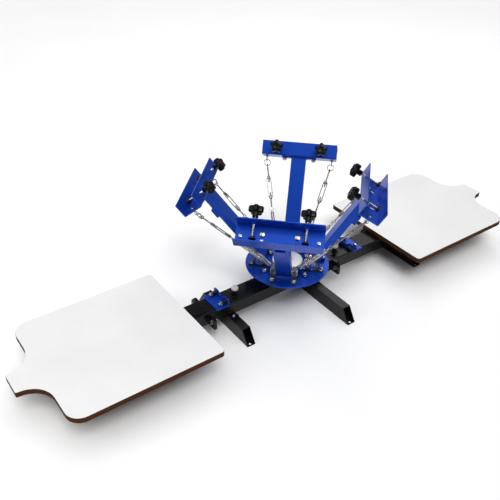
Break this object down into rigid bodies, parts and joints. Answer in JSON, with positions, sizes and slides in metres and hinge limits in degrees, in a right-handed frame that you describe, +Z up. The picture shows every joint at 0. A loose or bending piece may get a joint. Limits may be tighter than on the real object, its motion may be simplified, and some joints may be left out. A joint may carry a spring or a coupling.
{
  "type": "screen printing carousel",
  "caption": "Bench-top screen printing carousel: spring-balanced arms with clamp heads on a turning disc, between two flat printing boards on a low beam.",
  "frame": {"origin": "on the ground under the carousel's axis", "axes": "+Z up along the carousel's axis, +X along the beams towards the extension beam's board"},
  "size_m": [1.894, 0.6404, 0.4884],
  "materials": {
    "blue_paint": "gloss",
    "black_powder_coat": "satin",
    "zinc_plate": "satin",
    "dark_zinc": "satin",
    "white_laminate": "satin",
    "black_plastic": "satin",
    "white_plastic": "satin"
  },
  "bodies": {
    "frame": {"main_beam": "black_powder_coat", "extension_beam": "black_powder_coat", "left_board_bracket": "black_powder_coat", "beam_end_caps": "black_plastic", "left_cross_leg": "black_powder_coat", "centre_cross_leg": "black_powder_coat", "right_cross_leg": "black_powder_coat", "frame_bolts": "zinc_plate", "left_board": "white_laminate", "right_board": "white_laminate", "board_screws": "zinc_plate", "left_gate": "blue_paint", "right_gate": "blue_paint", "gate_studs": "zinc_plate", "spindle": "black_powder_coat", "spindle_bearing": "zinc_plate"},
    "carousel": {"carousel_disc": "blue_paint", "hub_cap": "zinc_plate", "pillow_blocks": "dark_zinc", "hinge_shafts": "zinc_plate", "spring_anchors": "blue_paint", "carousel_bolts": "zinc_plate"},
    "left_stop": {"left_height_stop": "white_plastic"},
    "right_stop": {"right_height_stop": "white_plastic"},
    "back_arm": {"back_arm": "blue_paint", "back_head": "blue_paint", "back_head_fasteners": "zinc_plate"},
    "back_springs": {"back_springs": "zinc_plate"},
    "back_turnbuckles": {"back_turnbuckles": "zinc_plate"},
    "back_pad_a": {"back_pad_a": "zinc_plate"},
    "back_knob_a": {"back_knob_a": "black_plastic"},
    "back_pad_b": {"back_pad_b": "zinc_plate"},
    "back_knob_b": {"back_knob_b": "black_plastic"},
    "left_arm": {"left_arm": "blue_paint", "left_head": "blue_paint", "left_head_fasteners": "zinc_plate"},
    "left_springs": {"left_springs": "zinc_plate"},
    "left_turnbuckles": {"left_turnbuckles": "zinc_plate"},
    "left_pad_a": {"left_pad_a": "zinc_plate"},
    "left_knob_a": {"left_knob_a": "black_plastic"},
    "left_pad_b": {"left_pad_b": "zinc_plate"},
    "left_knob_b": {"left_knob_b": "black_plastic"},
    "front_arm": {"front_arm": "blue_paint", "front_head": "blue_paint", "front_head_fasteners": "zinc_plate"},
    "front_springs": {"front_springs": "zinc_plate"},
    "front_turnbuckles": {"front_turnbuckles": "zinc_plate"},
    "front_pad_a": {"front_pad_a": "zinc_plate"},
    "front_knob_a": {"front_knob_a": "black_plastic"},
    "front_pad_b": {"front_pad_b": "zinc_plate"},
    "front_knob_b": {"front_knob_b": "black_plastic"},
    "right_arm": {"right_arm": "blue_paint", "right_head": "blue_paint", "right_head_fasteners": "zinc_plate"},
    "right_springs": {"right_springs": "zinc_plate"},
    "right_turnbuckles": {"right_turnbuckles": "zinc_plate"},
    "right_pad_a": {"right_pad_a": "zinc_plate"},
    "right_knob_a": {"right_knob_a": "black_plastic"},
    "right_pad_b": {"right_pad_b": "zinc_plate"},
    "right_knob_b": {"right_knob_b": "black_plastic"}
  },
  "joints": [
    {"name": "carousel_spin", "type": "hinge", "parent": "frame", "child": "carousel", "pos_m": [0, 0, 0.13], "axis": [0, 0, 1], "continuous": true},
    {"name": "left_stop_height", "type": "slide", "parent": "frame", "child": "left_stop", "axis": [0, 0, 1], "range_m": [-0.006, 0.012]},
    {"name": "right_stop_height", "type": "slide", "parent": "frame", "child": "right_stop", "axis": [0, 0, 1], "range_m": [-0.006, 0.012]},
    {"name": "back_arm_lift", "type": "hinge", "parent": "carousel", "child": "back_arm", "pos_m": [0.06223, 0.06223, 0.162], "axis": [-0.7071, 0.7071, 0], "range_deg": [0, 54], "stiffness_Nm_per_rad": 6, "springref_deg": -51.57},
    {"name": "back_springs_swing", "type": "hinge", "parent": "carousel", "child": "back_springs", "pos_m": [0.042, 0.042, 0.16], "axis": [-0.7071, 0.7071, 0], "range_deg": [-0.5, 49.96]},
    {"name": "back_springs_stretch", "type": "slide", "parent": "back_springs", "child": "back_turnbuckles", "axis": [0.4684, 0.4684, 0.7491], "range_m": [-0.0005, 0.01118]},
    {"name": "back_pad_a_slide", "type": "slide", "parent": "back_arm", "child": "back_pad_a", "axis": [-0.5862, -0.5862, 0.5592], "range_m": [-0.012, 0.02]},
    {"name": "back_knob_a_turn", "type": "hinge", "parent": "back_pad_a", "child": "back_knob_a", "pos_m": [0.23942, 0.13335, 0.42232], "axis": [-0.5862, -0.5862, 0.5592], "range_deg": [-3461, 5765]},
    {"name": "back_pad_b_slide", "type": "slide", "parent": "back_arm", "child": "back_pad_b", "axis": [-0.5862, -0.5862, 0.5592], "range_m": [-0.012, 0.02]},
    {"name": "back_knob_b_turn", "type": "hinge", "parent": "back_pad_b", "child": "back_knob_b", "pos_m": [0.13335, 0.23942, 0.42232], "axis": [-0.5862, -0.5862, 0.5592], "range_deg": [-3461, 5765]},
    {"name": "left_arm_lift", "type": "hinge", "parent": "carousel", "child": "left_arm", "pos_m": [-0.06223, 0.06223, 0.162], "axis": [-0.7071, -0.7071, 0], "range_deg": [0, 48.5], "stiffness_Nm_per_rad": 6, "springref_deg": -51.57},
    {"name": "left_springs_swing", "type": "hinge", "parent": "carousel", "child": "left_springs", "pos_m": [-0.042, 0.042, 0.16], "axis": [-0.7071, -0.7071, 0], "range_deg": [-0.5, 44.78]},
    {"name": "left_springs_stretch", "type": "slide", "parent": "left_springs", "child": "left_turnbuckles", "axis": [-0.5137, 0.5137, 0.6872], "range_m": [-0.0005, 0.00901]},
    {"name": "left_pad_a_slide", "type": "slide", "parent": "left_arm", "child": "left_pad_a", "axis": [0.5456, -0.5456, 0.6361], "range_m": [-0.012, 0.02]},
    {"name": "left_knob_a_turn", "type": "hinge", "parent": "left_pad_a", "child": "left_knob_a", "pos_m": [-0.15042, 0.25649, 0.40429], "axis": [0.5456, -0.5456, 0.6361], "range_deg": [-3461, 5765]},
    {"name": "left_pad_b_slide", "type": "slide", "parent": "left_arm", "child": "left_pad_b", "axis": [0.5456, -0.5456, 0.6361], "range_m": [-0.012, 0.02]},
    {"name": "left_knob_b_turn", "type": "hinge", "parent": "left_pad_b", "child": "left_knob_b", "pos_m": [-0.25649, 0.15042, 0.40429], "axis": [0.5456, -0.5456, 0.6361], "range_deg": [-3461, 5765]},
    {"name": "front_arm_lift", "type": "hinge", "parent": "carousel", "child": "front_arm", "pos_m": [-0.06223, -0.06223, 0.162], "axis": [0.7071, -0.7071, 0], "range_deg": [0, 54.8], "stiffness_Nm_per_rad": 6, "springref_deg": -51.57},
    {"name": "front_springs_swing", "type": "hinge", "parent": "carousel", "child": "front_springs", "pos_m": [-0.042, -0.042, 0.16], "axis": [0.7071, -0.7071, 0], "range_deg": [-0.5, 50.7]},
    {"name": "front_springs_stretch", "type": "slide", "parent": "front_springs", "child": "front_turnbuckles", "axis": [-0.4615, -0.4615, 0.7577], "range_m": [-0.0005, 0.01151]},
    {"name": "front_pad_a_slide", "type": "slide", "parent": "front_arm", "child": "front_pad_a", "axis": [0.5917, 0.5917, 0.5476], "range_m": [-0.012, 0.02]},
    {"name": "front_knob_a_turn", "type": "hinge", "parent": "front_pad_a", "child": "front_knob_a", "pos_m": [-0.23683, -0.13077, 0.42474], "axis": [0.5917, 0.5917, 0.5476], "range_deg": [-3461, 5765]},
    {"name": "front_pad_b_slide", "type": "slide", "parent": "front_arm", "child": "front_pad_b", "axis": [0.5917, 0.5917, 0.5476], "range_m": [-0.012, 0.02]},
    {"name": "front_knob_b_turn", "type": "hinge", "parent": "front_pad_b", "child": "front_knob_b", "pos_m": [-0.13077, -0.23683, 0.42474], "axis": [0.5917, 0.5917, 0.5476], "range_deg": [-3461, 5765]},
    {"name": "right_arm_lift", "type": "hinge", "parent": "carousel", "child": "right_arm", "pos_m": [0.06223, -0.06223, 0.162], "axis": [0.7071, 0.7071, 0], "range_deg": [0, 58], "stiffness_Nm_per_rad": 6, "springref_deg": -51.57},
    {"name": "right_springs_swing", "type": "hinge", "parent": "carousel", "child": "right_springs", "pos_m": [0.042, -0.042, 0.16], "axis": [0.7071, 0.7071, 0], "range_deg": [-0.5, 53.69]},
    {"name": "right_springs_stretch", "type": "slide", "parent": "right_springs", "child": "right_turnbuckles", "axis": [0.433, -0.433, 0.7906], "range_m": [-0.0005, 0.01288]},
    {"name": "right_pad_a_slide", "type": "slide", "parent": "right_arm", "child": "right_pad_a", "axis": [-0.6124, 0.6124, 0.5], "range_m": [-0.012, 0.02]},
    {"name": "right_knob_a_turn", "type": "hinge", "parent": "right_pad_a", "child": "right_knob_a", "pos_m": [0.12021, -0.22627, 0.43393], "axis": [-0.6124, 0.6124, 0.5], "range_deg": [-3461, 5765]},
    {"name": "right_pad_b_slide", "type": "slide", "parent": "right_arm", "child": "right_pad_b", "axis": [-0.6124, 0.6124, 0.5], "range_m": [-0.012, 0.02]},
    {"name": "right_knob_b_turn", "type": "hinge", "parent": "right_pad_b", "child": "right_knob_b", "pos_m": [0.22627, -0.12021, 0.43393], "axis": [-0.6124, 0.6124, 0.5], "range_deg": [-3461, 5765]}
  ],
  "couplings": [
    {"joint": "back_springs_swing", "follows": "back_arm_lift", "ratio": 0.916},
    {"joint": "back_springs_stretch", "follows": "back_arm_lift", "m_per_rad": 0.01133},
    {"joint": "back_knob_a_turn", "follows": "back_pad_a_slide", "rad_per_m": 5026.5},
    {"joint": "back_knob_b_turn", "follows": "back_pad_b_slide", "rad_per_m": 5026.5},
    {"joint": "left_springs_swing", "follows": "left_arm_lift", "ratio": 0.913},
    {"joint": "left_springs_stretch", "follows": "left_arm_lift", "m_per_rad": 0.01005},
    {"joint": "left_knob_a_turn", "follows": "left_pad_a_slide", "rad_per_m": 5026.5},
    {"joint": "left_knob_b_turn", "follows": "left_pad_b_slide", "rad_per_m": 5026.5},
    {"joint": "front_springs_swing", "follows": "front_arm_lift", "ratio": 0.916},
    {"joint": "front_springs_stretch", "follows": "front_arm_lift", "m_per_rad": 0.01151},
    {"joint": "front_knob_a_turn", "follows": "front_pad_a_slide", "rad_per_m": 5026.5},
    {"joint": "front_knob_b_turn", "follows": "front_pad_b_slide", "rad_per_m": 5026.5},
    {"joint": "right_springs_swing", "follows": "right_arm_lift", "ratio": 0.917},
    {"joint": "right_springs_stretch", "follows": "right_arm_lift", "m_per_rad": 0.01223},
    {"joint": "right_knob_a_turn", "follows": "right_pad_a_slide", "rad_per_m": 5026.5},
    {"joint": "right_knob_b_turn", "follows": "right_pad_b_slide", "rad_per_m": 5026.5}
  ]
}
